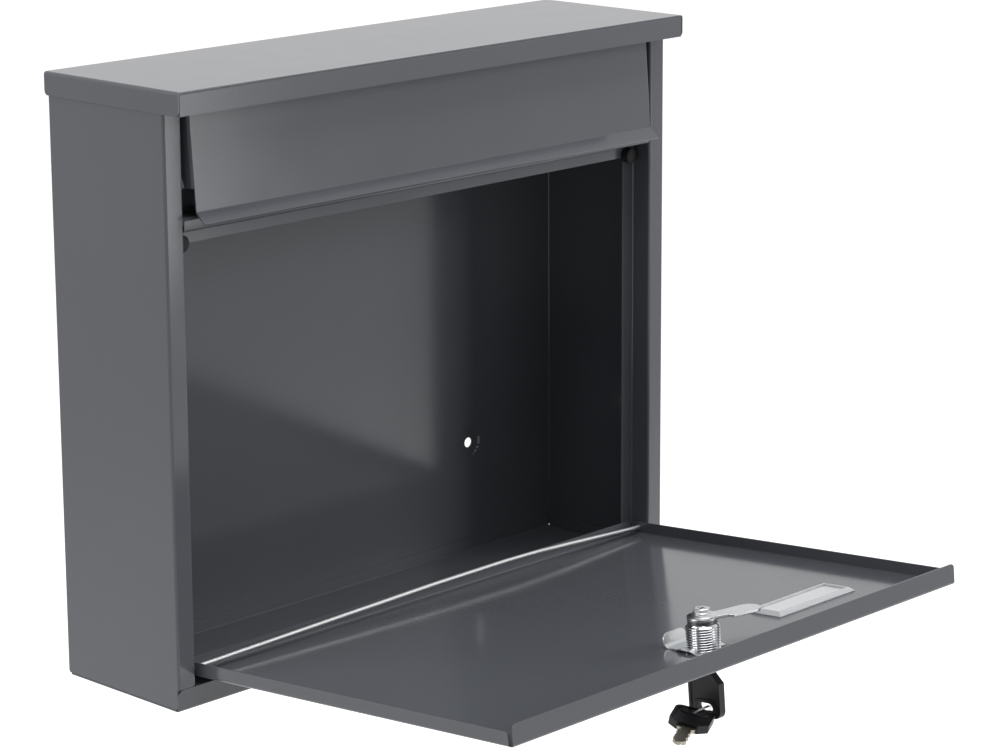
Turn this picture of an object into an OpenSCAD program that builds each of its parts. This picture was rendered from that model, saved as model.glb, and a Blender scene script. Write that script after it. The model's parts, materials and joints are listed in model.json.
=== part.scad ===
// Wall mounted mailbox, folded from painted sheet steel.
// The wall is the plane y = 0, the box stands out towards -Y, +X is to the right and +Z is up.
// The origin is the middle of the four wall screws.
// The door is drawn shut and then swung open about its hinge wire, as it stands at rest.

/* [Case] */
// Width of the case across its side walls
case_w = 378; // [320:2:460]
// Height of the mailbox with its lid
case_h = 326; // [290:2:400]
// Distance from the wall to the front frame
case_d = 92.5; // [80:0.5:120]
// Thickness of the painted sheet
sheet = 0.8; // [0.7:0.1:1.0]
// Inside radius of every fold
fold_r = 0.8; // [0.5:0.1:1.2]

/* [Front frame] */
// Width of the flanges beside the door
frame_w = 12; // [10:0.5:16]
// Depth of the recess that the door closes into
recess = 13; // [12:0.5:16]
// Width of the strip that stops draughts behind the door edge
stop_w = 9; // [8:0.5:12]
// Height of the bottom lip
lip_h = 11.8; // [10:0.2:14]
// Height of the rail face between the letter slot and the door
rail_face = 7.6; // [6:0.2:14]
// Height of the guard strip above the rail
guard_h = 12; // [8:0.5:16]

/* [Lid] */
// Overhang of the lid in front of the frame
lid_front = 13; // [8:0.5:20]
// Height of the folded rim round the lid
lid_rim = 12.4; // [9:0.2:16]
// Clearance between the lid rim and the case
lid_gap = 0.2; // [0.1:0.05:0.6]

/* [Door] */
// Gap between each side of the door and the frame
door_gap = 2; // [1.2:0.1:3]
// Gap between the door and the frame at its upper and lower edges
door_foot = 1.2; // [1:0.1:1.6]
// Height of the folds along the sides and the hinge edge
door_lip = 7.7; // [7:0.1:9]
// Height of the fold along the free edge
door_front_lip = 11.7; // [9:0.1:12]
// Distance from the hinge axis to the outer face of the door
hinge_inset = 4.6; // [4.2:0.1:5]
// Distance from the hinge axis to the lower edge of the shut door
hinge_up = 7.1; // [6.6:0.1:7.3]
// Angle at which the open door stops
door_open = 85.2; // [60:0.2:90]
// Diameter of the hinge wire
wire_d = 2.5; // [2:0.1:3]
// Height of the bow in the sprung hinge wire
wire_bow = 4.8; // [3:0.1:7]
// Place of the highest point of the bow, from the left end of the wire
wire_apex = 238; // [150:1:250]

/* [Letter flap] */
// Length of the flap from its rod to the lower fold
flap_h = 56.2; // [48:0.2:60]
// Gap between the lower fold of the flap and the rail face
flap_over = 2.3; // [1.5:0.1:4]
// Gap between each end of the flap and the frame
flap_gap = 3.6; // [2:0.1:5]
// Lean of the flap, outwards at the bottom
flap_lean = 4.5; // [2:0.1:6]
// Width of the finger lip along the bottom of the flap
flap_lip = 8.6; // [6:0.2:10]
// Diameter of the flap rod
rod_d = 3; // [2.5:0.1:4]
// Distance from the flap rod to the outer face of the flap
rod_inset = 4.6; // [4:0.1:6]
// Depth of the flap below the lid at which the rod lies
rod_drop = 7.5; // [6:0.1:9]

/* [Lock] */
// Distance from the free edge of the door to the lock axis
lock_down = 31; // [24:0.5:40]
// Diameter of the lock barrel
barrel_d = 18; // [16:0.5:20]
// Distance across the two flats of the barrel
barrel_flats = 16; // [14:0.5:17]
// Length of the barrel behind the outer face of the door
barrel_len = 15.3; // [14:0.1:20]
// Diameter of the plug that the key turns
plug_d = 12; // [10:0.5:13]
// Length of the cam from the lock axis to its tip
cam_len = 34; // [28:0.5:38]
// Thickness of the cam
cam_t = 1.8; // [1.5:0.1:2.5]
// Angle at which the cam rests, towards the free edge of the door
cam_rest = 22; // [0:1:45]

/* [Keys] */
// Width of a key head
head_w = 21; // [16:0.5:24]
// Length of a key head
head_len = 24; // [20:0.5:28]
// Thickness of a key head
head_t = 4.4; // [3:0.1:4.6]
// Width of a key blade
blade_w = 7.6; // [6:0.1:8.4]
// Thickness of a key blade
blade_t = 2; // [1.6:0.1:2.4]
// Length of a key blade beyond its head
blade_len = 23; // [18:0.5:26]
// Radius of the wire ring that joins the keys
ring_r = 9.75; // [9.5:0.05:10]

/* [Name window] */
// Width of the clear name window
window_w = 64; // [50:1:76]
// Height of the clear name window
window_h = 22; // [18:0.5:28]
// Distance from the middle of the door to the middle of the window
window_x = 101; // [80:1:120]
// Distance from the free edge of the door to the middle of the window
window_down = 47.6; // [40:0.2:60]

/* [Wall fixing] */
// Distance between the screw holes across the back
hole_dx = 237; // [200:1:300]
// Distance between the screw holes up the back
hole_dz = 192; // [160:1:240]
// Diameter of each screw hole
hole_d = 6; // [4:0.1:8]

/* [Hidden] */
$fn = 48;

seam = 0.2;                             // gap between two sheets that lie together
standoff = sheet + seam;                // pressed stand-offs, level with the rear rim of the lid
eps = 0.01;
front = -case_d;                        // outer face of the frame and of the shut door
back = -standoff;                       // rear face of the back panel
lid_under = case_h - sheet;             // underside of the lid
stop_y = front + recess;                // front face of every stop strip
open_l = frame_w;                       // left edge of the framed opening
open_r = case_w - frame_w;              // right edge of the framed opening
stop_l = open_l + stop_w;
stop_r = open_r - stop_w;
bend = fold_r + sheet;                  // outside radius of a fold

door_l = open_l + door_gap;
door_r = open_r - door_gap;
rod_y = front + rod_inset;
rod_z = lid_under - rod_drop;
rail_top = rod_z - flap_h - flap_over;  // upper edge of the rail face
rail_z = rail_top - rail_face;          // lower edge of the rail face

door_z = lip_h + door_foot;             // lower edge of the shut door
door_top = rail_z - door_foot;
door_h = door_top - door_z;
axis_y = front + hinge_inset;
axis_z = door_z + hinge_up;

flap_l = open_l + flap_gap;
flap_r = open_r - flap_gap;

lock_x = case_w / 2;
lock_z = door_top - lock_down;
window_z = door_top - window_down;

run = 0.05;                             // radial running clearance of the hinge and lock fits

// ---------- folded sheet ----------

function unit(v) = v / norm(v);
function left_of(v) = [-v.y, v.x];
function turn(a, b) = atan2(a.x * b.y - a.y * b.x, a * b);

// One side of a folded strip: offset points of the path, with an arc of "steps" chords at each fold.
function fold_side(path, side, t, r, steps = 4) = [
    for (i = [0 : len(path) - 1])
        let (first = i == 0, last = i == len(path) - 1,
             a = unit(first ? path[1] - path[0] : path[i] - path[i - 1]),
             b = unit(last ? a : path[i + 1] - path[i]),
             angle = first || last ? 0 : turn(a, b),
             rc = r + t / 2,
             s = sign(angle),
             hub = path[i] - a * rc * tan(abs(angle) / 2) + left_of(a) * s * rc)
        each (first || last
            ? [path[i] + left_of(a) * side * t / 2]
            : [for (k = [0 : steps])
                hub - rotated(left_of(a), angle * k / steps) * s * (rc - s * side * t / 2)])
];
function rotated(v, t) = [v.x * cos(t) - v.y * sin(t), v.x * sin(t) + v.y * cos(t)];
function reversed(list) = [for (i = [len(list) - 1 : -1 : 0]) list[i]];

// A strip of sheet whose middle follows the path.
module folded(path, t = sheet, r = fold_r) {
    polygon(concat(fold_side(path, 1, t, r), reversed(fold_side(path, -1, t, r))));
}

// Profile drawn in the Y-Z plane, extruded from x = x0 to x = x1.
module along_x(x0, x1) {
    translate([x0, 0, 0]) rotate([90, 0, 90]) linear_extrude(x1 - x0) children();
}

// Outline drawn in the X-Z plane, cut or grown from y = y0 to y = y1.
module along_y(y0, y1) {
    translate([0, y1, 0]) rotate([90, 0, 0]) linear_extrude(y1 - y0) children();
}

// A rectangle whose upper two corners are round, made of true arcs.
module round_top(w, h, r) {
    square([w, h - r]);
    translate([r, 0]) square([w - 2 * r, h]);
    for (x = [r, w - r]) translate([x, h - r]) circle(r);
}

// A straight-sided slot with round ends, length along X, middle at the origin.
module stadium(length, width) {
    square([length - width, width], center = true);
    for (s = [-1, 1]) translate([s * (length - width) / 2, 0]) circle(width / 2);
}

// ---------- case ----------

m = sheet / 2;
dimple_r = 11;
dimple_flat = 6;
hole_x = [(case_w - hole_dx) / 2, (case_w + hole_dx) / 2];
hole_z = [(case_h - hole_dz) / 2, (case_h + hole_dz) / 2];

// Plan of the one-piece wrap: stop, return, flange, side, back and the same again.
wrap_path = [
    [stop_l, stop_y + m], [open_l - m, stop_y + m], [open_l - m, front + m], [m, front + m],
    [m, back - m], [case_w - m, back - m],
    [case_w - m, front + m], [open_r + m, front + m], [open_r + m, stop_y + m], [stop_r, stop_y + m]];

// Pressed stand-off: a shallow cone with a flat seat on the wall.
module dimple() {
    rotate([90, 0, 0]) rotate_extrude()
        polygon([[hole_d / 2, 0], [dimple_flat, 0], [dimple_r, standoff],
                 [dimple_r, standoff + sheet], [dimple_flat, sheet], [hole_d / 2, sheet]]);
}

// Everything below z = z1 between two corners of the plan.
module below(x0, y0, x1, y1, z1) {
    translate([x0, y0, -1]) cube([x1 - x0, y1 - y0, z1 + 1]);
}

// Room for the bottom tray below the left-hand front of the wrap.
module wrap_foot() {
    over_lip = lip_h + seam;
    below(-1, front - 1, sheet, front + sheet + seam, over_lip);
    below(-1, front - 1, sheet, front + bend + seam, bend + seam);
    below(sheet, front - 1, open_l + 1, front + bend + eps, over_lip);
    below(open_l - bend - seam, front, open_l + 1, stop_y + bend, over_lip);
    below(open_l - eps, stop_y - bend, stop_l + 1, stop_y + bend, over_lip + stop_w);
    below(-1, back - bend, bend, 1, bend + seam);
}

// Rounds the lower inner corner of the left-hand front flange.
module flange_corner() {
    along_y(front - 1, front + bend + 1) translate([open_l - flange_r, lip_h + seam - eps]) difference() {
        square([flange_r + 1, flange_r]);
        translate([0, flange_r]) circle(flange_r);
    }
}

// Holes in both return walls, for the flap rod and the hinge wire.
module frame_holes() {
    for (p = [[rod_y, rod_z, rod_d / 2 + rod_fit], [axis_y, axis_z, wire_d / 2 + run]], x = [open_l, open_r])
        translate([x - 2, p[0], p[1]]) rotate([0, 90, 0]) cylinder(r = p[2], h = 4);
}

flange_r = 3;
rod_fit = 0.03;                         // radial clearance of the rod in the frame

module case_wrap() {
    color("#4a4f55") on_wall() {
        difference() {
            translate([0, 0, sheet + seam])
                linear_extrude(lid_under - fold_r - sheet - seam) folded(wrap_path);
            for (x = hole_x, z = hole_z)
                translate([x, 1, z]) rotate([90, 0, 0]) cylinder(r = dimple_r, h = 4);
            for (s = [0, 1]) mirror_x(s) {
                wrap_foot();
                flange_corner();
            }
            frame_holes();
        }
        for (x = hole_x, z = hole_z) translate([x, 0, z]) dimple();
    }
}

tray_back = back - sheet - seam - m;    // middle of the upright flange in front of the back
tray_flange = 8;
tray_path = [
    [tray_back, tray_flange], [tray_back, m], [front + m, m], [front + m, lip_h - m],
    [stop_y + m, lip_h - m], [stop_y + m, lip_h + stop_w]];
lip_corner = 4;

module bottom_tray() {
    color("#4a4f55") on_wall() {
        along_x(open_l + seam, open_r - seam) folded(tray_path);
        // the plate and the lip run on under the side walls, with round corners
        intersection() {
            along_x(0, case_w) folded([[tray_back - bend, m], [front + m, m], [front + m, lip_h]]);
            along_y(front - 1, 1) round_top(case_w, lip_h, lip_corner);
        }
        // upright flanges along the back and the side walls
        along_x(2 * (sheet + seam), case_w - 2 * (sheet + seam))
            folded([[tray_back, tray_flange], [tray_back, m], [tray_back - 2 * bend, m]]);
        for (s = [0, 1]) mirror_x(s)
            translate([sheet + seam, stop_y + bend, eps]) cube([sheet, back - bend - seam - stop_y - bend, tray_flange]);
    }
}

// The same shape at the right-hand end of the case.
module mirror_x(on) {
    translate([on * case_w, 0, 0]) mirror([on, 0, 0]) children();
}

// Everything is drawn from the lower left corner of the back; this brings the screws' middle to the origin.
module on_wall() {
    translate([-case_w / 2, 0, -case_h / 2]) children();
}

lid_l = -sheet - lid_gap;
lid_r = case_w + sheet + lid_gap;
lid_y = front - lid_front;
lid_corner = 2.5;
lid_seam = 0.4;                         // open seam beside the front and rear rims
rim_z = case_h - lid_rim;

module lid() {
    color("#4a4f55") on_wall() {
        // top with the front and rear rims, between the side rims
        along_x(lid_l + sheet + lid_seam, lid_r - sheet - lid_seam)
            folded([[lid_y + m, rim_z], [lid_y + m, case_h - m], [-m, case_h - m], [-m, rim_z]]);
        // top with the side rims, whose lower corners are round
        intersection() {
            along_y(lid_y, 0)
                folded([[lid_l + m, rim_z], [lid_l + m, case_h - m], [lid_r - m, case_h - m], [lid_r - m, rim_z]]);
            lid_side_outline();
        }
    }
}

module lid_side_outline() {
    along_x(lid_l - 1, lid_r + 1) translate([0, case_h + rim_z]) mirror([0, 1])
        translate([lid_y, rim_z]) round_top(-lid_y, lid_rim, lid_corner);
}

module slot_rail() {
    color("#4a4f55") on_wall() {
        // hat section: stop strip, return, face, return and guard strip
        along_x(stop_l + seam, stop_r - seam)
            folded([[stop_y + m, rail_z - stop_w], [stop_y + m, rail_z + m], [front + m, rail_z + m],
                    [front + m, rail_top - m], [stop_y + m, rail_top - m], [stop_y + m, rail_top + guard_h]]);
        along_x(open_l + seam, open_r - seam)
            folded([[stop_y - fold_r, rail_z + m], [front + m, rail_z + m],
                    [front + m, rail_top - m], [stop_y - fold_r, rail_top - m]]);
    }
}

rod_out = 2.5;

module flap_rod() {
    color("#b9bcbe") on_wall() translate([open_l - sheet - rod_out, rod_y, rod_z])
        rotate([0, 90, 0]) cylinder(d = rod_d, h = open_r - open_l + 2 * (sheet + rod_out));
}

bumper_d = 9;
bumper_h = stop_y - (front + door_lip) - 0.3;
bumper_x = door_l + bumper_d / 2 - 0.5; // the side fold of the door lands on its rim
bumper_z = door_top - bumper_d / 2 - 2;
bumper_edge = 0.5;

module bumper() {
    translate([bumper_x, stop_y, bumper_z]) rotate([90, 0, 0]) {
        cylinder(d = bumper_d, h = bumper_h - bumper_edge);
        translate([0, 0, bumper_h - bumper_edge])
            cylinder(d1 = bumper_d, d2 = bumper_d - 2 * bumper_edge, h = bumper_edge);
    }
}

module bumper_left() { color("#202122") on_wall() bumper(); }
module bumper_right() { color("#202122") on_wall() mirror_x(1) bumper(); }

// ---------- letter flap ----------

ear_depth = recess - 1.2;               // the ears reach just short of the stop strips
ear_h = 44;                             // height of the ears below the rod
flap_top = 3.4;                         // height of the panel above the rod
ear_notch = 1.2;                        // step of the panel's ends below the ears

module flap_panel() {
    color("#4a4f55") on_wall() translate([0, rod_y, rod_z]) rotate([-flap_lean, 0, 0]) flap_sheet();
}

// Drawn upright about its rod; the ears carry the rod and stop against the frame.
module flap_sheet() {
    face = -rod_inset + m;
    slant = flap_lip * sin(45);
    difference() {
        union() {
            along_x(flap_l + bend, flap_r - bend)
                folded([[face, flap_top], [face, -flap_h], [face - slant, -flap_h - slant]]);
            along_x(flap_l + ear_notch, flap_r - ear_notch)
                folded([[face, -ear_h], [face, -flap_h], [face - slant, -flap_h - slant]]);
            flap_ears(face);
        }
        for (x = [flap_l, flap_r])
            translate([x - 3, 0, 0]) rotate([0, 90, 0]) cylinder(r = rod_d / 2 + run, h = 6);
    }
}

module flap_ears(face) {
    intersection() {
        translate([0, 0, -ear_h]) linear_extrude(ear_h + flap_top)
            folded([[flap_l + m, face + ear_depth], [flap_l + m, face], [flap_r - m, face], [flap_r - m, face + ear_depth]]);
        along_x(flap_l - 1, flap_r + 1) ear_outline(face);
    }
}

// Side view of the ear, which narrows towards its lower end.
module ear_outline(face) {
    polygon([[face - 1, flap_top], [face + ear_depth, flap_top], [face + ear_depth, -ear_h * 0.6],
             [face + ear_depth * 0.5, -ear_h], [face - 1, -ear_h]]);
}

// ---------- door ----------

module opened() {
    on_wall() translate([0, axis_y, axis_z]) rotate([door_open, 0, 0]) translate([0, -axis_y, -axis_z]) children();
}

notch_x = 1.2;
notch_z = 2.4;
lip_r = 2.5;
cut_w = window_w - 7;
cut_h = window_h - 7;

module door_tray() {
    color("#4a4f55") opened() difference() {
        union() {
            door_hinge_and_free_lips();
            door_side_lips();
        }
        // double-D hole of the lock
        translate([lock_x, front - 1, lock_z]) rotate([-90, 0, 0]) intersection() {
            cylinder(r = barrel_d / 2 + run, h = 3);
            cube([barrel_flats + 2 * run, barrel_d + 1, 8], center = true);
        }
        translate([lock_x + window_x - cut_w / 2, front - 1, window_z - cut_h / 2]) cube([cut_w, 3, cut_h]);
        translate([door_l - 1, axis_y, axis_z]) rotate([0, 90, 0])
            cylinder(r = wire_d / 2 + run, h = door_r - door_l + 2);
    }
}

module door_hinge_and_free_lips() {
    intersection() {
        along_x(door_l + notch_x, door_r - notch_x)
            folded([[front + door_lip, door_z + m], [front + m, door_z + m],
                    [front + m, door_top - m], [front + door_front_lip, door_top - m]]);
        // round outer corners on the free lip, seen along Z
        translate([door_l + notch_x, front, door_z - 1]) linear_extrude(door_h + 2)
            round_top(door_r - door_l - 2 * notch_x, door_front_lip, lip_r);
    }
}

module door_side_lips() {
    z1 = door_top - notch_z;
    intersection() {
        translate([0, 0, door_z + bend]) linear_extrude(z1 - door_z - bend)
            folded([[door_l + m, front + door_lip], [door_l + m, front + m],
                    [door_r - m, front + m], [door_r - m, front + door_lip]]);
        // round upper corner, seen along X
        along_x(door_l - 1, door_r + 1) translate([front, door_z]) side_lip_outline(z1 - door_z);
    }
}

module side_lip_outline(length) {
    square([door_lip - lip_r, length]);
    square([door_lip, length - lip_r]);
    translate([door_lip - lip_r, length - lip_r]) circle(lip_r);
}

wire_out = 1.6;                         // end of the wire behind each return wall
wire_l = open_l - sheet - wire_out;
wire_r = open_r + sheet + wire_out;
bow_l = door_l + sheet + 2;             // the wire is straight through each lip
bow_r = door_r - sheet - 2;
bow_x = wire_l + wire_apex;

wire_steps = 28;
wire_sides = 24;
crown_power = 1.8;                      // flatness of the bow at its highest point
root_power = 1.3;                       // softness of the bend beside each lip

// Height of the bowed wire above its axis.
function bow_share(x) = x < bow_x ? (bow_x - x) / (bow_x - bow_l) : (x - bow_x) / (bow_r - bow_x);
function bow_z(x) = wire_bow * pow(1 - pow(bow_share(x), crown_power), root_power);

wire_path = concat([[wire_l, 0]],
    [for (i = [0 : wire_steps]) let (x = bow_l + (bow_r - bow_l) * i / wire_steps) [x, bow_z(x)]],
    [[wire_r, 0]]);

// Ring of points round the wire, square to it, and the faces that join the rings.
function wire_ring(i) =
    let (n = left_of(unit(wire_path[min(i + 1, len(wire_path) - 1)] - wire_path[max(i - 1, 0)])) * wire_d / 2)
    [for (k = [0 : wire_sides - 1]) let (a = 360 * k / wire_sides)
        [wire_path[i].x + n.x * cos(a), wire_d / 2 * sin(a), wire_path[i].y + n.y * cos(a)]];

module hinge_wire() {
    last = len(wire_path) - 1;
    color("#c9cccd") on_wall() translate([0, axis_y, axis_z]) polyhedron(
        [for (i = [0 : last]) each wire_ring(i)],
        concat(
            [[for (k = [wire_sides - 1 : -1 : 0]) k], [for (k = [0 : wire_sides - 1]) last * wire_sides + k]],
            [for (i = [0 : last - 1], k = [0 : wire_sides - 1])
                let (a = i * wire_sides + k, b = i * wire_sides + (k + 1) % wire_sides)
                each [[a, b, b + wire_sides], [a, b + wire_sides, a + wire_sides]]]));
}

// ---------- lock ----------

// Lock axis of the open door: local Z points into the box, local -Y points to the free edge.
module at_lock() {
    opened() translate([lock_x, front, lock_z]) rotate([-90, 0, 0]) children();
}

rim_d = barrel_d + 4;
rim_t = 2.2;
plug_face = rim_t + 0.4;
tang = 7;
disc_d = barrel_d - 2.4;
disc_t = 1.8;
boss_d = disc_d + 0.6;                  // round end of the cam over the stop disc
cam_z = barrel_len + run + disc_t;

module barrel_section(grow) {
    intersection() {
        circle(barrel_d / 2 + grow);
        square([barrel_flats + 2 * grow, barrel_d + 2], center = true);
    }
}

module lock_barrel() {
    color("#c4c6c8") at_lock() difference() {
        union() {
            linear_extrude(barrel_len) barrel_section(0);
            rotate([180, 0, 0]) rotate_extrude()
                polygon([[0, 0], [rim_d / 2, 0], [rim_d / 2, rim_t - 1], [rim_d / 2 - 1, rim_t], [0, rim_t]]);
        }
        translate([0, 0, -rim_t - 1]) cylinder(r = plug_d / 2 + run, h = barrel_len + rim_t + 2);
    }
}

// Plug with its keyway, the stop disc behind the barrel and the square tang of the cam.
module lock_plug() {
    color("#c9c2ae") at_lock() difference() {
        union() {
            translate([0, 0, -plug_face]) cylinder(d = plug_d, h = barrel_len + plug_face + run + eps);
            translate([0, 0, barrel_len + run]) cylinder(d = disc_d, h = disc_t);
            translate([-tang / 2, -tang / 2, cam_z - eps]) cube([tang, tang, cam_t + eps]);
        }
        translate([-keyway_t / 2, -keyway_w / 2, -plug_face - 1]) cube([keyway_t, keyway_w, keyway_len + 1]);
    }
}

keyway_t = blade_t + 0.4;
keyway_w = blade_w + 0.4;
keyway_len = barrel_len + 1.6;

module cam() {
    neck = 9;
    nose = 12;
    nose_x = 17;
    color("#c9cbc9") at_lock() translate([0, 0, cam_z]) rotate([0, 0, -cam_rest]) linear_extrude(cam_t)
        difference() {
            union() {
                circle(boss_d / 2);
                translate([0, -neck / 2]) square([nose_x + 1, neck]);
                translate([nose_x, -neck / 2]) square([cam_len - nose_x - nose / 2, nose]);
                translate([cam_len - nose / 2, (nose - neck) / 2]) circle(nose / 2);
            }
            rotate(cam_rest) square(tang + 0.1, center = true);
        }
}

washer_d = 13.6;
washer_t = 1.6;
screw_af = 8;
screw_h = 3;
screw_d = 3.9;
head_flange = 0.7;

// Domed washer between the cam and the screw head.
module cam_washer() {
    bore = screw_d / 2 + 0.1;
    color("#c4c6c8") at_lock() translate([0, 0, cam_z + cam_t]) rotate_extrude()
        polygon([[bore, 0], [washer_d / 2, 0], [washer_d / 2 - 0.2, 0.5], [washer_d / 2 - 1.2, washer_t - 0.4],
                 [washer_d / 2 - 2.4, washer_t], [bore, washer_t]]);
}

module cam_screw() {
    color("#cfd1d2") at_lock() translate([0, 0, cam_z + cam_t + washer_t]) difference() {
        union() {
            cylinder(d = screw_af + 1.6, h = head_flange);
            cylinder(d = screw_af / cos(30), h = screw_h, $fn = 6);
            translate([0, 0, -washer_t]) cylinder(d = screw_d, h = washer_t + eps);
        }
        translate([0, 0, screw_h - 1.2]) for (a = [0, 90]) rotate(a) translate([-2.6, -0.5, 0]) cube([5.2, 1, 3]);
    }
}

// Spring clip: a waved fork of sheet pushed on to the flats, with a curled thumb tab towards the hinge.
clip_t = 0.8;
clip_z = sheet + seam;
clip_half = barrel_flats / 2 + 3.4;
tab_half = 9;
tab_h = 7;
clip_end = 9;                           // reach of the legs past the lock axis
wave_h = 1.5;
clip_reach = barrel_d / 2 + 12;         // reach of the tab towards the hinge

module lock_clip() {
    tab_y = barrel_d / 2 + 4;           // start of the tab
    color("#c9cbc9") at_lock() difference() {
        intersection() {
            translate([-clip_half, 0, 0]) rotate([90, 0, 90]) linear_extrude(2 * clip_half) wave();
            linear_extrude(20) polygon([
                [-clip_half, -clip_end - 1], [clip_half, -clip_end - 1], [clip_half, 6], [tab_half, tab_y - 1],
                [tab_half, clip_reach + 2], [-tab_half, clip_reach + 2], [-tab_half, tab_y - 1], [-clip_half, 6]]);
            union() {
                translate([-clip_half, -clip_end - 1, 0]) cube([2 * clip_half, clip_end + 1 + tab_y, 20]);
                translate([-tab_half, clip_reach + 2, 0]) rotate([90, 0, 0]) linear_extrude(clip_reach + 3 - tab_y)
                    round_top(2 * tab_half, clip_z + clip_t / 2 + tab_h, 4);
            }
        }
        translate([0, 0, -1]) linear_extrude(12) {
            barrel_section(0.3);
            translate([-barrel_flats / 2 - 0.3, -clip_end - 2]) square([barrel_flats + 0.6, clip_end + 2]);
        }
    }
}

// The wave lifts the legs off the door beside the barrel, so that the clip pulls the rim tight.
module wave() {
    z = clip_z + clip_t / 2;
    folded([[clip_reach, z + tab_h + 1], [clip_reach - 2.5, z], [11, z], [6, z + wave_h],
            [0, z + wave_h], [-5, z], [-clip_end, z + wave_h]], clip_t, 3);
}

// ---------- name window ----------

rim_h = 2.4;
rim_w = 0.9;
slope = 2.2;                            // the sides of the rim lean in by this much
card_t = 0.4;
tray_w = window_w - 2 * (slope + rim_w); // shallow tray that holds the card
tray_h = window_h - 2 * (slope + rim_w);

module at_window() {
    opened() translate([lock_x + window_x, front, window_z]) rotate([-90, 0, 0]) children();
}

module name_window() {
    color("#dfe4e6", 0.6) at_window() difference() {
        union() {
            translate([-cut_w / 2 + 0.3, -cut_h / 2 + 0.3, -0.4]) cube([cut_w - 0.6, cut_h - 0.6, sheet + 0.6]);
            hull() {
                translate([-window_w / 2, -window_h / 2, sheet]) cube([window_w, window_h, 0.6]);
                translate([slope - window_w / 2, slope - window_h / 2, sheet])
                    cube([window_w - 2 * slope, window_h - 2 * slope, rim_h]);
            }
        }
        translate([-tray_w / 2, -tray_h / 2, sheet + 0.6]) cube([tray_w, tray_h, rim_h]);
    }
}

module name_card() {
    color("white") at_window() translate([0.3 - tray_w / 2, 0.3 - tray_h / 2, sheet + 0.6])
        cube([tray_w - 0.6, tray_h - 0.6, card_t]);
}

// ---------- keys ----------

head_gap = 8;                           // free length of blade between the plug and the head
slot_len = 11;
slot_h = 5.3;
slot_edge = 2.5;                        // bar of the head below its slot
shoulder = 5;                           // bevelled corners of the head beside the blade
head_r = 4;                             // round corners of the head beyond its slot

// Key head: blade side at z = 0, slot near z = -head_len, width along Y, thickness along X.
module head_shape() {
    rotate([0, 90, 0]) translate([0, 0, -head_t / 2]) linear_extrude(head_t) difference() {
        intersection() {
            polygon([[0, shoulder - head_w / 2], [0, head_w / 2 - shoulder], [shoulder, head_w / 2],
                     [head_len + 1, head_w / 2], [head_len + 1, -head_w / 2], [shoulder, -head_w / 2]]);
            union() {
                translate([-1, -head_w / 2]) square([head_len - head_r + 1, head_w]);
                translate([0, head_r - head_w / 2]) square([head_len, head_w - 2 * head_r]);
                for (s = [-1, 1]) translate([head_len - head_r, s * (head_w / 2 - head_r)]) circle(head_r);
            }
        }
        translate([head_len - slot_edge - slot_h / 2, 0]) rotate(90) stadium(slot_len, slot_h);
    }
}

// One edge of the blade from its root to its tip, with cuts of uneven depth.
cut_count = 6;
cut_root = 4;
root_w = blade_w + 1.8;                 // wide root of the blade beside the head
function cut_depth(i, phase) = 1.4 - 0.9 * abs(sin(i * 77 + phase));
function blade_edge(s, phase) = [
    for (i = [0 : cut_count - 1])
        let (pitch = (blade_len - cut_root - 2) / cut_count, x = cut_root + i * pitch,
             y = blade_w / 2 - cut_depth(i, phase))
        each [[x, s * y], [x + 0.4 * pitch, s * y], [x + 0.7 * pitch, s * (y + 0.5)]]];

// Blade with cuts in both edges, standing on the head along +Z.
module blade_shape() {
    rotate([0, -90, 0]) translate([0, 0, -blade_t / 2]) linear_extrude(blade_t)
        polygon(concat(
            [[0, -root_w / 2], [cut_root - 1, -root_w / 2]], blade_edge(-1, 40),
            [[blade_len, -1], [blade_len, 1]],
            reversed(blade_edge(1, 0)), [[cut_root - 1, root_w / 2], [0, root_w / 2]]));
}

key_z = -plug_face - head_gap;

module key_head() { color("#1b1c1d") at_lock() translate([0, 0, key_z]) head_shape(); }
module key_blade() { color("#b7b09a") at_lock() translate([0, 0, key_z]) blade_shape(); }

ring_wire = 1;
ring_tilt = 43.8;                       // lean of the ring's axis out of the vertical
ring_shift = [-5.35, 3.49, -4.93];      // its middle, seen from the slot of the key in the lock

// The spare key juts out from the ring, flat side up.
spare_shift = [-11.84, -1.12, -1.32];   // its slot, seen from the slot of the key in the lock
spare_w = unit([-0.484, 0.856, 0.183]); // direction of its width
spare_n = unit(cross(spare_w, [-0.871, -0.491, 0]));
spare_len = cross(spare_n, spare_w);    // direction of its blade

// Middle of the slot of the key in the lock, in the frame of the case.
function swung(y, z) = [
    axis_y + (y - axis_y) * cos(door_open) - (z - axis_z) * sin(door_open),
    axis_z + (y - axis_y) * sin(door_open) + (z - axis_z) * cos(door_open)];
slot_at = swung(front + key_z - head_len + slot_edge + slot_h / 2, lock_z);
key_slot = [lock_x, slot_at.x, slot_at.y];
spare_slot = key_slot + spare_shift;

module key_ring() {
    color("#c9cbc9") on_wall() translate(key_slot + ring_shift) rotate([-ring_tilt, 0, 0])
        rotate_extrude($fn = 64) translate([ring_r, 0]) circle(d = ring_wire);
}

// Carries a key from its own frame to that of the spare key.
module at_spare() {
    on_wall() multmatrix([[spare_n.x, spare_w.x, spare_len.x, spare_slot.x],
                [spare_n.y, spare_w.y, spare_len.y, spare_slot.y],
                [spare_n.z, spare_w.z, spare_len.z, spare_slot.z],
                [0, 0, 0, 1]])
        translate([0, 0, head_len - slot_edge - slot_h / 2]) children();
}

module spare_key_head() { color("#1b1c1d") at_spare() head_shape(); }
module spare_key_blade() { color("#b7b09a") at_spare() blade_shape(); }

case_wrap();
bottom_tray();
lid();
slot_rail();
flap_rod();
bumper_left();
bumper_right();
flap_panel();
door_tray();
hinge_wire();
lock_barrel();
lock_clip();
name_window();
name_card();
lock_plug();
cam();
cam_washer();
cam_screw();
key_head();
key_blade();
key_ring();
spare_key_head();
spare_key_blade();
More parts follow.
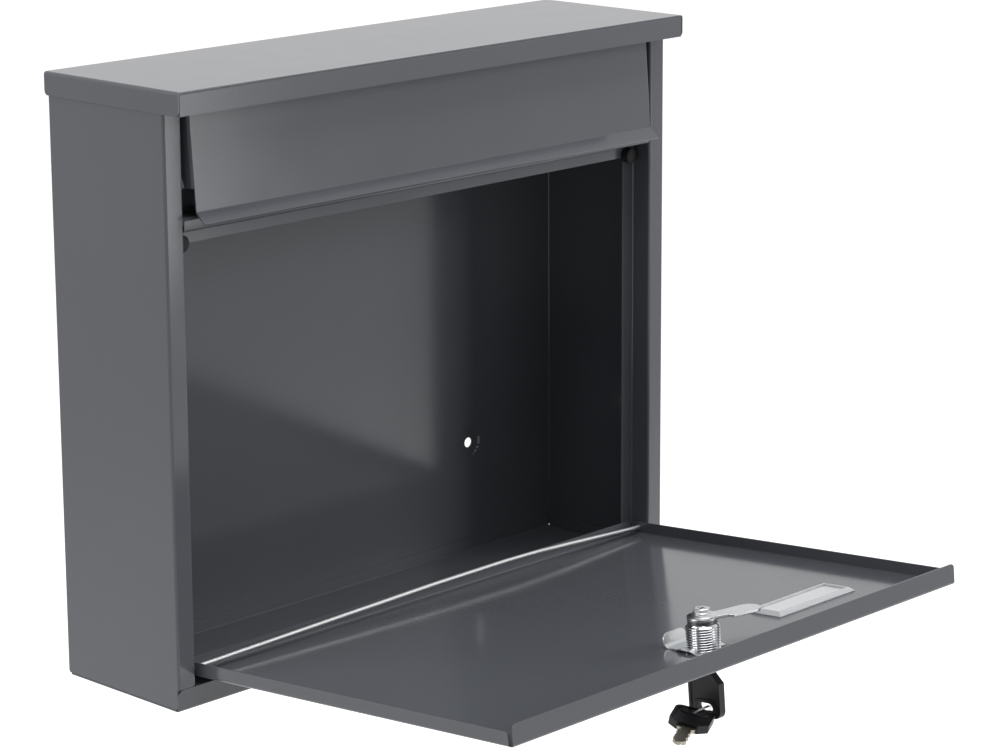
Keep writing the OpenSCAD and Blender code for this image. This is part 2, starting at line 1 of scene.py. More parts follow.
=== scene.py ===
import json
import math
import bmesh
import bpy
from mathutils import Matrix, Vector


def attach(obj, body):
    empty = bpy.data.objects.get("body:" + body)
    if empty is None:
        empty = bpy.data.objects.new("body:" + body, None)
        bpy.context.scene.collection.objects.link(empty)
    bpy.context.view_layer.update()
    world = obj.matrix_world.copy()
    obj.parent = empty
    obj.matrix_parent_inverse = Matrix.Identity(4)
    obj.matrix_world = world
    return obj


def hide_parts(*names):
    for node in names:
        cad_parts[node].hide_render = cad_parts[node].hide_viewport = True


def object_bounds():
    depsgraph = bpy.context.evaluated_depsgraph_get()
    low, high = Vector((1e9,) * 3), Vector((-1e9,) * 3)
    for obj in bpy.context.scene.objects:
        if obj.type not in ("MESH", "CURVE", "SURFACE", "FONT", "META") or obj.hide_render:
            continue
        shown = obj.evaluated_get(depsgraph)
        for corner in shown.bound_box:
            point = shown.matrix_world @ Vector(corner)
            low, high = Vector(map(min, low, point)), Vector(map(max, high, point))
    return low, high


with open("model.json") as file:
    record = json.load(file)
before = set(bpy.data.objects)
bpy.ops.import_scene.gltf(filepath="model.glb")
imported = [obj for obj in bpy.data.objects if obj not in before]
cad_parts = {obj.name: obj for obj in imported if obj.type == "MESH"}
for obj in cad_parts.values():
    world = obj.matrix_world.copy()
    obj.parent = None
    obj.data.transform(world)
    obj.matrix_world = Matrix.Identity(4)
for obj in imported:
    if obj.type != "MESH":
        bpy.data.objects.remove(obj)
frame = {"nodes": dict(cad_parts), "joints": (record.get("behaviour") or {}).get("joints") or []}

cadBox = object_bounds()
print("frame loaded:", len(frame["nodes"]), "nodes")


class Wire:  # one output of a shader node, used in sums like a number
    def __init__(self, graph, socket):
        self.graph, self.socket = graph, socket

    def math(self, operation, a, b):
        return self.graph.add("ShaderNodeMath", {"operation": operation}, {0: a, 1: b})

    def __add__(self, other):
        return self.math("ADD", self, other)

    def __sub__(self, other):
        return self.math("SUBTRACT", self, other)

    def __rsub__(self, other):
        return self.math("SUBTRACT", other, self)

    def __mul__(self, other):
        return self.math("MULTIPLY", self, other)

    def __gt__(self, other):
        return self.math("GREATER_THAN", self, other)

    __radd__ = __add__
    __rmul__ = __mul__


class Graph:
    def __init__(self, tree):
        self.tree = tree
        tree.nodes.clear()

    def add(self, kind, settings=None, sockets=None, out=0):
        node = self.tree.nodes.new(kind)
        for key, value in (settings or {}).items():
            if key == "stops":
                while len(node.color_ramp.elements) < len(value):
                    node.color_ramp.elements.new(0.5)
                for element, (place, grey) in zip(node.color_ramp.elements, value):
                    element.position = place
                    element.color = (grey, grey, grey, 1)
            else:
                setattr(node, key, value)
        for key, value in (sockets or {}).items():
            if isinstance(value, Wire):
                self.tree.links.new(value.socket, node.inputs[key])
            elif isinstance(value, tuple) and node.inputs[key].type == "RGBA":
                node.inputs[key].default_value = (*value, 1)
            else:
                node.inputs[key].default_value = value
        return Wire(self, node.outputs[out]) if node.outputs else None

    def place(self):
        return self.add("ShaderNodeTexCoord", out="Object")

    def stretched(self, scale):
        return self.add("ShaderNodeVectorMath", {"operation": "MULTIPLY"}, {0: self.place(), 1: scale})

    def noise(self, scale, detail=2.0, roughness=0.5, where=None):
        return self.add("ShaderNodeTexNoise", {}, {"Vector": where or self.place(), "Scale": scale,
                                                   "Detail": detail, "Roughness": roughness})

    def ramp(self, value, stops):
        return self.add("ShaderNodeValToRGB", {"stops": stops}, {"Fac": value})

    def blendColours(self, factor, low, high):
        return self.add("ShaderNodeMix", {"data_type": "RGBA"}, {0: factor, 6: low, 7: high}, out=2)

    def bump(self, height, depth, under=None):
        sockets = {"Height": height, "Distance": depth, "Strength": 1.0}
        if under:
            sockets["Normal"] = under
        return self.add("ShaderNodeBump", {}, sockets)

    def rays(self):  # is this ray the camera's own, and is it one that a glossy surface throws back
        return [self.add("ShaderNodeLightPath", out=kind) for kind in ("Is Camera Ray", "Is Glossy Ray")]


def newMaterial(name):
    material = bpy.data.materials.new(name)
    material.use_nodes = True
    return material, Graph(material.node_tree)


def finishMaterial(graph, sockets):
    graph.add("ShaderNodeOutputMaterial", {}, {"Surface": graph.add("ShaderNodeBsdfPrincipled", {}, sockets)})


# coat of paint on every folded sheet: smooth, dark and slightly blue, with the faint ripple of baked powder
paint = {"colour": (0.114, 0.120, 0.135), "shade": (0.098, 0.104, 0.118), "flowSize": 9.0, "flowShare": 0.9,
         "roughness": 0.14, "hazeSize": 38.0, "hazeRange": 0.08, "peelSize": 330.0, "peelDepth": 0.000014,
         "waveSize": 22.0, "waveDepth": 0.00006, "speckSize": 2600.0, "speckLevel": 0.74, "speckPale": 0.25,
         "speckRough": 0.05, "ior": 1.5}


def powderCoat():
    material, g = newMaterial("graphiteCoat")
    flow = g.noise(paint["flowSize"], 3.0)
    peel = g.noise(paint["peelSize"], 2.0, 0.45)
    wave = g.noise(paint["waveSize"], 1.0)
    haze = g.noise(paint["hazeSize"], 4.0, 0.6)
    speck = g.noise(paint["speckSize"], 1.0) > paint["speckLevel"]
    pale = flow * paint["flowShare"] + speck * paint["speckPale"]
    smoothest = paint["roughness"] - paint["hazeRange"] / 2
    finishMaterial(g, {"Base Color": g.blendColours(pale, paint["shade"], paint["colour"]),
                       "Roughness": haze * paint["hazeRange"] + speck * paint["speckRough"] + smoothest,
                       "Normal": g.bump(peel, paint["peelDepth"], g.bump(wave, paint["waveDepth"])),
                       "IOR": paint["ior"]})
    return material


metalSkin = {"cloudSize": 260.0, "cloudShare": 0.6, "cloudRange": 0.08, "stainSize": 90.0, "stainShare": 0.5,
             "grainRange": 0.12}


def plainMetal(name, colour, roughness, grain, depth, stretch=(1.0, 1.0, 1.0), tarnish=0.86):
    material, g = newMaterial(name)
    lines = g.noise(grain, 3.0, 0.55, g.stretched(stretch))
    cloud = g.noise(metalSkin["cloudSize"], 3.0)
    stain = g.noise(metalSkin["stainSize"], 4.0, 0.65)
    clean = cloud * metalSkin["cloudShare"] + stain * metalSkin["stainShare"]
    worn = lines * metalSkin["grainRange"] + cloud * metalSkin["cloudRange"]
    smoothest = roughness - (metalSkin["grainRange"] + metalSkin["cloudRange"]) / 2
    finishMaterial(g, {"Base Color": g.blendColours(clean, tuple(c * tarnish for c in colour), colour),
                       "Roughness": worn + smoothest, "Normal": g.bump(lines, depth), "Metallic": 1.0})
    return material


plasticSkin = {"cloudSize": 120.0, "shade": 0.8, "grainRange": 0.16, "ior": 1.36}


def mouldedPlastic(name, colour, roughness, grain, depth):
    material, g = newMaterial(name)
    skin = g.noise(grain, 3.0, 0.6)
    cloud = g.noise(plasticSkin["cloudSize"], 2.0)
    dull = tuple(c * plasticSkin["shade"] for c in colour)
    smoothest = roughness - plasticSkin["grainRange"] / 2
    finishMaterial(g, {"Base Color": g.blendColours(cloud, dull, colour),
                       "Roughness": skin * plasticSkin["grainRange"] + smoothest,
                       "Normal": g.bump(skin, depth), "IOR": plasticSkin["ior"]})
    return material


milky = {"dull": (0.70, 0.71, 0.73), "pale": (0.78, 0.79, 0.81), "rippleSize": 160.0, "rippleRange": 0.08,
         "rippleDepth": 0.00002, "smoothest": 0.2, "clearness": 0.25, "ior": 1.49}


def milkyPlastic():
    material, g = newMaterial("milkyWindow")
    ripple = g.noise(milky["rippleSize"], 2.0)
    finishMaterial(g, {"Base Color": g.blendColours(ripple, milky["dull"], milky["pale"]),
                       "Roughness": ripple * milky["rippleRange"] + milky["smoothest"],
                       "Normal": g.bump(ripple, milky["rippleDepth"]),
                       "Transmission Weight": milky["clearness"], "IOR": milky["ior"]})
    return material


card = {"dull": (0.66, 0.67, 0.69), "pale": (0.78, 0.79, 0.80), "fibreSize": 1400.0, "fibreRange": 0.1,
        "fibreStretch": (1.0, 0.35, 1.0), "fibreDepth": 0.00002, "smoothest": 0.75}


def paperCard():
    material, g = newMaterial("cardStock")
    fibre = g.noise(card["fibreSize"], 4.0, 0.7, g.stretched(card["fibreStretch"]))
    finishMaterial(g, {"Base Color": g.blendColours(fibre, card["dull"], card["pale"]),
                       "Roughness": fibre * card["fibreRange"] + card["smoothest"],
                       "Normal": g.bump(fibre, card["fibreDepth"])})
    return material


finish = {material.name: material for material in (
    powderCoat(),
    plainMetal("satinZinc", (0.70, 0.715, 0.73), 0.30, 900.0, 0.000006),
    plainMetal("drawnWire", (0.88, 0.885, 0.89), 0.44, 1500.0, 0.000006, (0.05, 1.0, 1.0), 0.95),
    plainMetal("polishedChrome", (0.72, 0.73, 0.75), 0.13, 700.0, 0.000002),
    plainMetal("nickelSilver", (0.44, 0.41, 0.34), 0.32, 2200.0, 0.00001, (1.0, 1.0, 0.1), 0.6),
    # painted shade: the lock plug's nickel silver is given a flat dark grey, so that its stop disc reads as the
    # shaded ring around the keyway
    plainMetal("plugPaintedShade", (0.30, 0.30, 0.30), 0.34, 1500.0, 0.000008),
    mouldedPlastic("blackKeyPlastic", (0.016, 0.016, 0.018), 0.42, 1800.0, 0.00002),
    mouldedPlastic("bumperRubber", (0.022, 0.022, 0.024), 0.68, 1500.0, 0.00003),
    milkyPlastic(),
    paperCard(),
)}
print("finishes ready:", len(finish))

sharpDegrees = 35.0  # an edge folded more than this stays crisp
cutDegrees = 30.0  # the same, where a cutter has gone through
weld = 1e-6  # corners closer than this are one corner


def shade(mesh, sharpAngle):
    mesh.polygons.foreach_set("use_smooth", [True] * len(mesh.polygons))
    mesh.set_sharp_from_angle(angle=math.radians(sharpAngle))


def newObject(name, data):
    thing = bpy.data.objects.new(name, data)
    bpy.context.scene.collection.objects.link(thing)
    return thing


def addPiece(piece, mesh, nodes):
    thing = newObject(piece["name"], mesh)
    mesh.materials.clear()
    mesh.materials.append(finish[piece["look"]])
    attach(thing, piece["body"])
    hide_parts(*nodes)
    return thing


def soften(thing, width, steps=2, sharpAngle=sharpDegrees):
    bevel = thing.modifiers.new("rounding", "BEVEL")
    bevel.width, bevel.segments, bevel.limit_method = width, steps, "ANGLE"
    bevel.angle_limit = math.radians(sharpAngle)
    bevel.use_clamp_overlap = True
    even = thing.modifiers.new("evenLight", "WEIGHTED_NORMAL")
    even.keep_sharp = True
    even.weight = 100


def cleanCopy(node):
    bm = bmesh.new()
    bm.from_mesh(frame["nodes"][node].data)
    bmesh.ops.remove_doubles(bm, verts=bm.verts, dist=weld)
    nearlyFlat = math.radians(0.6)
    bmesh.ops.dissolve_limit(bm, angle_limit=nearlyFlat, verts=bm.verts, edges=bm.edges)
    return bm


def toMesh(bm, name, sharpAngle=sharpDegrees):
    mesh = bpy.data.meshes.new(name)
    bm.to_mesh(mesh)
    bm.free()
    shade(mesh, sharpAngle)
    return mesh


def refined(piece):
    thing = addPiece(piece, toMesh(cleanCopy(piece["node"]), piece["name"]), [piece["node"]])
    if "rounding" in piece:
        soften(thing, piece["rounding"], piece.get("steps", 2))


painted = {"look": "graphiteCoat", "slot": "painted_steel", "rounding": 0.00022}
wrapSheet = {**painted, "name": "wrapSheet", "node": "case_wrap", "body": "case"}
baseSheet = {**painted, "name": "baseSheet", "node": "bottom_tray", "body": "case"}
lidSheet = {**painted, "name": "lidSheet", "node": "lid", "body": "case", "rounding": 0.0003}
railSheet = {**painted, "name": "railSheet", "node": "slot_rail", "body": "case"}
flapSheet = {**painted, "name": "flapSheet", "node": "flap_panel", "body": "flap"}
doorSheet = {**painted, "name": "doorSheet", "node": "door_tray", "body": "door"}
for sheet in (wrapSheet, baseSheet, lidSheet, railSheet, flapSheet, doorSheet):
    refined(sheet)
print("folded sheets ready")

zinc = {"look": "satinZinc", "slot": "zinc_plated_steel"}
rubber = {"look": "bumperRubber", "slot": "bumper_rubber", "body": "case"}
flapRod = {**zinc, "name": "flapRod", "node": "flap_rod", "body": "case", "rounding": 0.0003, "steps": 3}
bumperLeft = {**rubber, "name": "bumperLeft", "node": "bumper_left"}
bumperRight = {**rubber, "name": "bumperRight", "node": "bumper_right"}
hingeWire = {**zinc, "look": "drawnWire", "name": "hingeWire", "node": "hinge_wire", "body": "door"}
springClip = {**zinc, "name": "springClip", "node": "lock_clip", "body": "door", "rounding": 0.00015}
windowRim = {"name": "windowRim", "node": "name_window", "body": "door", "look": "milkyWindow",
             "slot": "clear_plastic", "rounding": 0.0002, "steps": 3}
nameCard = {"name": "nameCard", "node": "name_card", "body": "door", "look": "cardStock", "slot": "white_card"}
for small in (flapRod, bumperLeft, bumperRight, hingeWire, springClip, windowRim, nameCard):
    refined(small)
print("rod, wire, clip, bumpers and name window ready")

joints = {joint["name"]: joint for joint in frame["joints"]}
rightwards = Vector((1, 0, 0))


def axesFrom(x, y, z):
    return Matrix((x, y, z)).transposed().to_4x4()


# the lock's own axes: Z runs up the barrel into the box, Y along the door towards the hinge
lockTurn = joints["lock_turn"]
lockUp = Vector(lockTurn["axis"]).normalized()
lockPlace = Matrix.Translation(lockTurn["pos_m"]) @ axesFrom(rightwards, lockUp.cross(rightwards), lockUp)


def spanAlong(node, place):  # lowest and highest corner of a node, measured in the axes of place
    points = [place.inverted() @ vertex.co for vertex in frame["nodes"][node].data.vertices]
    return [Vector(pick(p[i] for p in points) for i in range(3)) for pick in (min, max)]


def onCircle(radius, angle):
    return radius * math.cos(angle), radius * math.sin(angle)


def turnAngles(around):
    return [2 * math.pi * k / around for k in range(around)]


def joinRings(bm, rings):
    for a, b in zip(rings[:-1], rings[1:]):
        for k in range(len(a)):
            n = (k + 1) % len(a)
            bm.faces.new((a[k], a[n], b[n], b[k]))


def ridePlace(piece, mesh):  # for pieces drawn in the lock's own axes
    mesh.transform(lockPlace)
    return addPiece(piece, mesh, [piece["node"]])


lockBarrel = {"name": "lockBarrel", "body": "door", "look": "polishedChrome", "slot": "chromed_lock",
              "pitch": 0.00132, "depth": 0.00086, "radius": 0.009, "flat": 0.0087, "bore": 0.0063, "around": 96,
              "crest": [(0.0, 0.0), (0.08, 0.07), (0.4, 0.9), (0.48, 1.0), (0.54, 1.0), (0.62, 0.9),
                        (0.94, 0.07)],
              "threadFrom": 0.0006, "threadShort": 0.0005, "runOut": 0.0008, "mouth": 0.0004,
              "rimFace": [(0.0010, 0.0), (0.0003, 0.0007), (0.0, 0.0011)], "rimBack": 0.0002, "sharp": 32.0}


def threadedBarrel(piece):
    low, high = spanAlong("lock_barrel", lockPlace)
    rimRadius, around = high.x, piece["around"]
    core = piece["radius"] - piece["depth"]
    zLow, zHigh = piece["threadFrom"], high.z - piece["threadShort"]
    angles = [2 * math.pi * k / around for k in range(around + 1)]

    def clamped(radius, angle):  # a point of the round barrel, cut back to its two flats
        x, y = onCircle(radius, angle)
        return max(-piece["flat"], min(piece["flat"], x)), y

    bm = bmesh.new()
    rows = []
    turns = int((zHigh - zLow) / piece["pitch"]) + 2
    for turnIndex in range(-1, turns):
        for share, height in piece["crest"]:
            row = []
            for k, angle in enumerate(angles):
                z = zLow + piece["pitch"] * (turnIndex + share + k / around)
                inside = min(z - zLow, zHigh - z) / piece["runOut"]
                radius = core + piece["depth"] * min(height, max(0.0, inside))
                row.append(bm.verts.new((*clamped(radius, angle), max(zLow, min(zHigh, z)))))
            rows.append(row)
    profile = [(core, zHigh), (core - piece["mouth"], high.z), (piece["bore"], high.z), (piece["bore"], low.z)]
    profile += [(rimRadius - inset, low.z + rise) for inset, rise in piece["rimFace"]]
    profile += [(rimRadius, -piece["rimBack"]), (rimRadius - piece["rimBack"], 0.0), (core, 0.0), (core, zLow)]
    lathe = [[bm.verts.new((*clamped(radius, angle), z)) for angle in angles] for radius, z in profile]
    for strip in (rows, lathe):
        for upper, lower in zip(strip[1:], strip[:-1]):
            for k in range(around):
                bm.faces.new((lower[k], lower[k + 1], upper[k + 1], upper[k]))
    bmesh.ops.remove_doubles(bm, verts=bm.verts, dist=2 * weld)
    bmesh.ops.dissolve_degenerate(bm, edges=bm.edges, dist=weld)
    bmesh.ops.recalc_face_normals(bm, faces=bm.faces)
    bm.transform(lockPlace)
    addPiece(piece, toMesh(bm, piece["name"], piece["sharp"]), ["lock_barrel"])


threadedBarrel(lockBarrel)
print("threaded barrel ready")

# the plug is nickel silver; its dark grey look is painted shade, so that the oversized stop disc reads as a
# shaded ring
lockPlug = {"name": "lockPlug", "node": "lock_plug", "body": "lock", "look": "plugPaintedShade",
            "slot": "nickel_silver", "rounding": 0.00015}
refined(lockPlug)

camArm = {**zinc, "name": "camArm", "node": "cam", "body": "lock", "rounding": 0.0004, "steps": 3,
          "turn": -22.0, "boss": 0.008, "neckNear": -0.0046, "neckFar": 0.0050, "farFrom": 0.0105,
          "step": (0.0125, 0.0150, -0.0071), "nose": (0.0276, 0.0012, 0.0064), "noseArc": (-82.0, 90.0)}


def arcPoints(middle, radius, first, last, steps):
    angles = [first + (last - first) * k / steps for k in range(steps + 1)]
    return [(middle[0] + x, middle[1] + y) for x, y in (onCircle(radius, angle) for angle in angles)]


def easedPoints(start, end, steps):  # a smooth S from one point to the other
    shares = [k / steps for k in range(steps + 1)]
    return [(start[0] + (end[0] - start[0]) * t, start[1] + (end[1] - start[1]) * (3 - 2 * t) * t ** 2)
            for t in shares]


def pressedCam(piece):  # flat arm: plain on the far side, one small step on the near side, round nose
    low, high = spanAlong("cam", lockPlace)
    noseX, noseY, noseR = piece["nose"]
    near, far = piece["neckNear"], piece["neckFar"]
    stepFrom, stepTo, stepDepth = piece["step"]
    first, last = (math.asin(y / piece["boss"]) for y in (far, near))
    noseFirst, noseLast = (math.radians(a) for a in piece["noseArc"])
    outline = arcPoints((0, 0), piece["boss"], first, 2 * math.pi + last, 48)
    outline += easedPoints((stepFrom, near), (stepTo, stepDepth), 8)
    outline += arcPoints((noseX, noseY), noseR, noseFirst, noseLast, 24)
    outline += easedPoints((noseX, noseY + noseR), (piece["farFrom"], far), 16)[1:-1]
    turn = Matrix.Rotation(math.radians(piece["turn"]), 4, "Z")
    bm = bmesh.new()
    rows = [[bm.verts.new(turn @ Vector((x, y, z))) for x, y in outline] for z in (low.z, high.z)]
    bm.faces.new(rows[0][::-1])
    bm.faces.new(rows[1])
    joinRings(bm, rows)
    soften(ridePlace(piece, toMesh(bm, piece["name"])), piece["rounding"], piece["steps"])


pressedCam(camArm)

camWasher = {**zinc, "name": "camWasher", "node": "cam_washer", "body": "lock", "bore": 0.00205, "around": 72,
             "thick": 0.0016, "sharp": 50.0,
             "dome": [(0.00790, 0.0), (0.00798, 0.0003), (0.0077, 0.0005), (0.0070, 0.00085), (0.0062, 0.0012),
                      (0.0054, 0.00148), (0.0048, 0.0016), (0.0040, 0.0016)]}


def domedWasher(piece):
    under = spanAlong("cam_washer", lockPlace)[0].z
    bm = bmesh.new()
    rings = [[bm.verts.new((*onCircle(radius, angle), under + height)) for angle in turnAngles(piece["around"])]
             for radius, height in [(piece["bore"], 0.0), *piece["dome"], (piece["bore"], piece["thick"])]]
    joinRings(bm, rings + rings[:1])
    bmesh.ops.recalc_face_normals(bm, faces=bm.faces)
    ridePlace(piece, toMesh(bm, piece["name"], piece["sharp"]))


domedWasher(camWasher)

clear = 0.001  # a cutter stands this far out of the piece


def addBlock(bm, place, low, high):
    corners = [bm.verts.new(place @ Vector((x, y, z))) for x in (low[0], high[0]) for y in (low[1], high[1])
               for z in (low[2], high[2])]
    for loop in ((0, 1, 3, 2), (4, 6, 7, 5), (0, 4, 5, 1), (2, 3, 7, 6), (0, 2, 6, 4), (1, 5, 7, 3)):
        bm.faces.new([corners[i] for i in loop])


def cutAway(blank, cutter, name):
    things = []
    for bm, label in ((blank, name + "Blank"), (cutter, name + "Cutter")):
        bmesh.ops.recalc_face_normals(bm, faces=bm.faces)
        things.append(newObject(label, toMesh(bm, label)))
    cut = things[0].modifiers.new("cut", "BOOLEAN")
    cut.operation, cut.object, cut.solver, cut.use_self = "DIFFERENCE", things[1], "EXACT", True
    evaluated = things[0].evaluated_get(bpy.context.evaluated_depsgraph_get())
    mesh = bpy.data.meshes.new_from_object(evaluated)
    mesh.name = name
    for thing in things:
        bpy.data.objects.remove(thing)
    shade(mesh, cutDegrees)
    return mesh


camScrew = {**zinc, "name": "camScrew", "node": "cam_screw", "body": "lock", "around": 48, "shank": 0.0019,
            "flange": 0.0049, "flangeEdge": 0.0004, "flangeTop": 0.0007, "flangeFall": 0.0003,
            "acrossFlats": 0.008, "corner": 1.115, "headFoot": 0.0008, "headHeight": 0.0027,
            "chamfer": 0.0004, "chamferShare": 0.9, "crossLong": 0.0052, "crossWide": 0.0011,
            "crossDeep": 0.0014, "crossStep": 0.0001, "crossTurn": 20.0, "rounding": 0.00022, "steps": 3}


def crossHeadScrew(piece):
    foot = spanAlong("cam_screw", lockPlace)[0].z
    under = foot + camWasher["thick"]
    top = under + piece["headHeight"]
    half, sixth = piece["acrossFlats"] / 2, math.pi / 6

    def hexRadius(angle, scale):  # distance to the edge of a hexagon, never beyond its turned corner
        edge = half / math.cos((angle + sixth) % (math.pi / 3) - sixth)
        return min(edge * scale, half * piece["corner"])

    bm = bmesh.new()
    angles = turnAngles(piece["around"])
    rounds = [(piece["shank"], foot), (piece["shank"], under), (piece["flange"], under),
              (piece["flange"], under + piece["flangeEdge"]),
              (piece["flange"] - piece["flangeFall"], under + piece["flangeTop"])]
    hexes = [(1.0, under + piece["headFoot"]), (1.0, top - piece["chamfer"]), (piece["chamferShare"], top)]
    rings = [[bm.verts.new((*onCircle(radius, angle), z)) for angle in angles] for radius, z in rounds]
    rings += [[bm.verts.new((*onCircle(hexRadius(angle, scale), angle), z)) for angle in angles]
              for scale, z in hexes]
    joinRings(bm, rings)
    bm.faces.new(rings[0])
    bm.faces.new(rings[-1])
    cutter = bmesh.new()
    long, wide = piece["crossLong"] / 2, piece["crossWide"] / 2
    for quarter in (0, 1):  # the second slot is a touch shallower, so that no two cutting faces share a plane
        place = Matrix.Rotation(math.radians(piece["crossTurn"] + 90 * quarter), 4, "Z")
        floor = top - piece["crossDeep"] + piece["crossStep"] * quarter
        addBlock(cutter, place, (-long, -wide, floor), (long, wide, top + clear))
    thing = ridePlace(piece, cutAway(bm, cutter, piece["name"]))
    soften(thing, piece["rounding"], piece["steps"], cutDegrees)


crossHeadScrew(camScrew)
print("plug, cam, washer and screw ready")

keyInLock = {"flat": rightwards, "along": lockUp}
spareKey = {"flat": Vector((0.086, -0.162, 0.983)).normalized(),
            "along": Vector((-0.871, -0.491, -0.005)).normalized()}
moulding = {"look": "blackKeyPlastic", "slot": "black_plastic", "border": 0.0017, "wall": 0.0003,
            "sunk": 0.0005, "facing": 0.995, "rounding": 0.0004, "steps": 3}
keyHead = {**moulding, "name": "keyHead", "node": "key_head", "body": "lock", "axes": keyInLock}
spareKeyHead = {**moulding, "name": "spareKeyHead", "node": "spare_key_head", "body": "spare_key",
                "axes": spareKey}


def mouldedHead(piece):
    bm = cleanCopy(piece["node"])
    flat = piece["axes"]["flat"]
    for side in (1, -1):
        bm.normal_update()
        faces = [face for face in bm.faces if face.normal.dot(flat) * side > piece["facing"]]
        for width, depth in ((piece["border"], 0.0), (piece["wall"], -piece["sunk"])):
            bmesh.ops.inset_region(bm, faces=faces, thickness=width, depth=depth, use_even_offset=True,
                                   use_boundary=True)
    thing = addPiece(piece, toMesh(bm, piece["name"]), [piece["node"]])
    soften(thing, piece["rounding"], piece["steps"])


mouldedHead(keyHead)
mouldedHead(spareKeyHead)

milled = {"look": "nickelSilver", "slot": "nickel_silver", "grooves": (-0.0014, 0.0013), "grooveWidth": 0.0010,
          "grooveDepth": 0.0005, "grooveFrom": 0.0015, "rounding": 0.00012}
keyBlade = {**milled, "name": "keyBlade", "node": "key_blade", "body": "lock", "axes": keyInLock}
spareKeyBlade = {**milled, "name": "spareKeyBlade", "node": "spare_key_blade", "body": "spare_key",
                 "axes": spareKey}


def milledBlade(piece):
    flat, along = piece["axes"]["flat"], piece["axes"]["along"]
    axes = axesFrom(flat, along.cross(flat), along)
    low, high = spanAlong(piece["node"], axes)
    middle = (low.y + high.y) / 2
    cutter = bmesh.new()
    for side, offset in ((low.x, piece["grooves"][0]), (high.x, piece["grooves"][1])):
        y, deep, half = middle + offset, piece["grooveDepth"], piece["grooveWidth"] / 2
        addBlock(cutter, axes, (side - deep, y - half, low.z + piece["grooveFrom"]),
                 (side + deep, y + half, high.z + clear))
    mesh = cutAway(cleanCopy(piece["node"]), cutter, piece["name"])
    soften(addPiece(piece, mesh, [piece["node"]]), piece["rounding"])


milledBlade(keyBlade)
milledBlade(spareKeyBlade)

keyRing = {**zinc, "name": "keyRing", "body": "spare_key", "radius": 0.00975, "turns": 1.88, "pitch": 0.00052,
           "wide": 0.0010, "thick": 0.00046, "corner": 0.3, "start": 0.9, "steps": 220}


def splitRing(piece):
    swing = joints["spare_key_swing"]
    up = Vector(swing["axis"]).normalized()
    side = up.cross(rightwards).normalized()
    place = Matrix.Translation(swing["pos_m"]) @ axesFrom(side.cross(up), side, up)
    corner = piece["thick"] * piece["corner"]
    half, tall = piece["wide"] / 2, piece["thick"] / 2
    section = [(half - corner, -tall), (half, corner - tall), (half, tall - corner), (half - corner, tall),
               (corner - half, tall), (-half, tall - corner), (-half, corner - tall), (corner - half, -tall)]
    bm = bmesh.new()
    loops = []
    for k in range(piece["steps"] + 1):
        share = k / piece["steps"]
        angle = 2 * math.pi * piece["turns"] * share + piece["start"]
        lift = piece["pitch"] * piece["turns"] * (share - 0.5)
        loops.append([bm.verts.new((*onCircle(piece["radius"] + r, angle), lift + z)) for r, z in section])
    joinRings(bm, loops)
    bm.faces.new(loops[0])
    bm.faces.new(loops[-1])
    bmesh.ops.recalc_face_normals(bm, faces=bm.faces)
    bm.transform(place)
    addPiece(piece, toMesh(bm, piece["name"]), ["key_ring"])


splitRing(keyRing)
print("keys and ring ready")

studio = {"floorDrop": 0.45, "floorSize": 14.0, "floorColour": (0.80, 0.80, 0.80), "floorRoughness": 0.9,
          "floorGlow": 0.84, "glowToGloss": 0.74, "airLight": 0.26, "airToCamera": 0.78, "airToGloss": 0.62,
          "brightSide": (0.62, 0.62, 0.48), "sideStops": [(0.16, 0.12), (0.55, 1.0)],
          "heightStops": [(0.64, 1.0), (0.92, 0.5)]}


def buildFloor():
    level = cadBox[0][2] - studio["floorDrop"]
    half = studio["floorSize"] / 2
    mesh = bpy.data.meshes.new("paleFloor")
    mesh.from_pydata([(-half, -half, level), (half, -half, level), (half, half, level), (-half, half, level)],
                     [], [(0, 1, 2, 3)])
    floor = newObject("paleFloor", mesh)
    material, g = newMaterial("paleFloor")
    toCamera, toGloss = g.rays()
    seen = toCamera + toGloss * studio["glowToGloss"]
    finishMaterial(g, {"Base Color": studio["floorColour"], "Roughness": studio["floorRoughness"],
                       "Emission Color": g.blendColours(seen, (0.0, 0.0, 0.0), (studio["floorGlow"],) * 3),
                       "Emission Strength": 1.0})
    mesh.materials.append(material)


def buildWorld():
    world = bpy.data.worlds.new("studioAir")
    bpy.context.scene.world = world
    world.use_nodes = True
    g = Graph(world.node_tree)
    toCamera, toGloss = g.rays()
    aim = g.add("ShaderNodeTexCoord", out="Generated")
    facing = g.add("ShaderNodeVectorMath", {"operation": "DOT_PRODUCT"}, {0: aim, 1: studio["brightSide"]},
                   out=1)
    height = g.add("ShaderNodeSeparateXYZ", {}, {"Vector": aim}, out="Z")
    wall = g.ramp(facing * 0.5 + 0.5, studio["sideStops"]) * g.ramp(height, studio["heightStops"])
    ambient = studio["airLight"] * (1.0 - toGloss * (1.0 - wall))
    level = toCamera * studio["airToCamera"] + toGloss * wall * studio["airToGloss"] + ambient
    air = g.add("ShaderNodeBackground", {}, {"Color": (1.0, 1.0, 1.0), "Strength": level})
    g.add("ShaderNodeOutputWorld", {}, {"Surface": air})


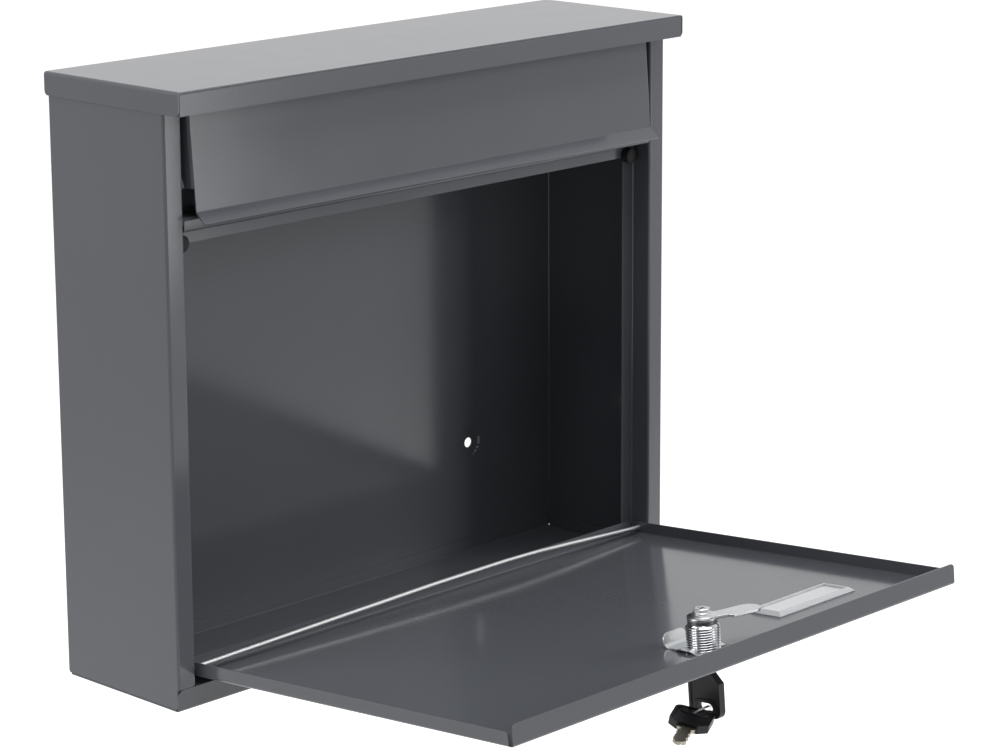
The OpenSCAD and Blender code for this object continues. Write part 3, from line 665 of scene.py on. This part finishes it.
softboxes = {
    "overhead": {"place": (0.0, -0.4, 1.5), "target": (0, -0.1, 0), "size": (1.4, 0.9), "power": 15.0},
    "leftRear": {"place": (-1.6, 0.7, 0.8), "target": (0, 0, 0), "size": (1.2, 1.2), "power": 15.0},
    "rightFront": {"place": (1.5, -1.5, 0.6), "target": (0, 0, 0.05), "size": (0.9, 0.9), "power": 21.0,
                   "inGloss": False},
    "frontHigh": {"place": (-0.75, -1.15, 1.5), "target": (0, -0.2, 0), "size": (2.2, 0.45), "power": 5.0,
                  "inDiffuse": False},
    "lowFront": {"place": (0.86, -1.74, 0.05), "target": (-0.19, -0.11, 0.1), "size": (0.6, 0.8), "power": 4.2,
                 "inDiffuse": False},
}


def buildSoftbox(name, box):
    light = bpy.data.lights.new(name, "AREA")
    light.shape, light.size, light.size_y, light.energy = "RECTANGLE", *box["size"], box["power"]
    holder = newObject(name, light)
    holder.location = box["place"]
    aim = Vector(box["target"]) - Vector(box["place"])
    holder.rotation_euler = aim.to_track_quat("-Z", "Y").to_euler()
    holder.visible_camera = False
    holder.visible_glossy = box.get("inGloss", True)
    holder.visible_diffuse = box.get("inDiffuse", True)


buildFloor()
buildWorld()
for name, box in softboxes.items():
    buildSoftbox(name, box)

camera = {"place": (-1.21831, -1.31769, 0.4140), "yaw": 45.255, "pitch": 12.891, "roll": -0.45,
          "lens": 116.98, "sensor": 36.0, "shift": (0.0425, -0.0638), "nearest": 0.05, "farthest": 50.0}


def buildCamera():
    yaw, pitch, roll = (math.radians(camera[k]) for k in ("yaw", "pitch", "roll"))
    ahead = Vector((math.sin(yaw) * math.cos(pitch), math.cos(yaw) * math.cos(pitch), -math.sin(pitch)))
    right = Vector((math.cos(yaw), -math.sin(yaw), 0))
    up = right.cross(ahead)
    rightRolled = math.cos(roll) * right + math.sin(roll) * up
    upRolled = math.cos(roll) * up - math.sin(roll) * right
    lens = bpy.data.cameras.new("viewCamera")
    lens.lens, lens.sensor_width = camera["lens"], camera["sensor"]
    lens.shift_x, lens.shift_y = camera["shift"]
    lens.clip_start, lens.clip_end = camera["nearest"], camera["farthest"]
    holder = newObject("viewCamera", lens)
    holder.matrix_world = Matrix.Translation(camera["place"]) @ axesFrom(rightRolled, upRolled, -ahead)
    bpy.context.scene.camera = holder


buildCamera()
bpy.context.scene.view_settings.view_transform = "Standard"
print("studio ready")
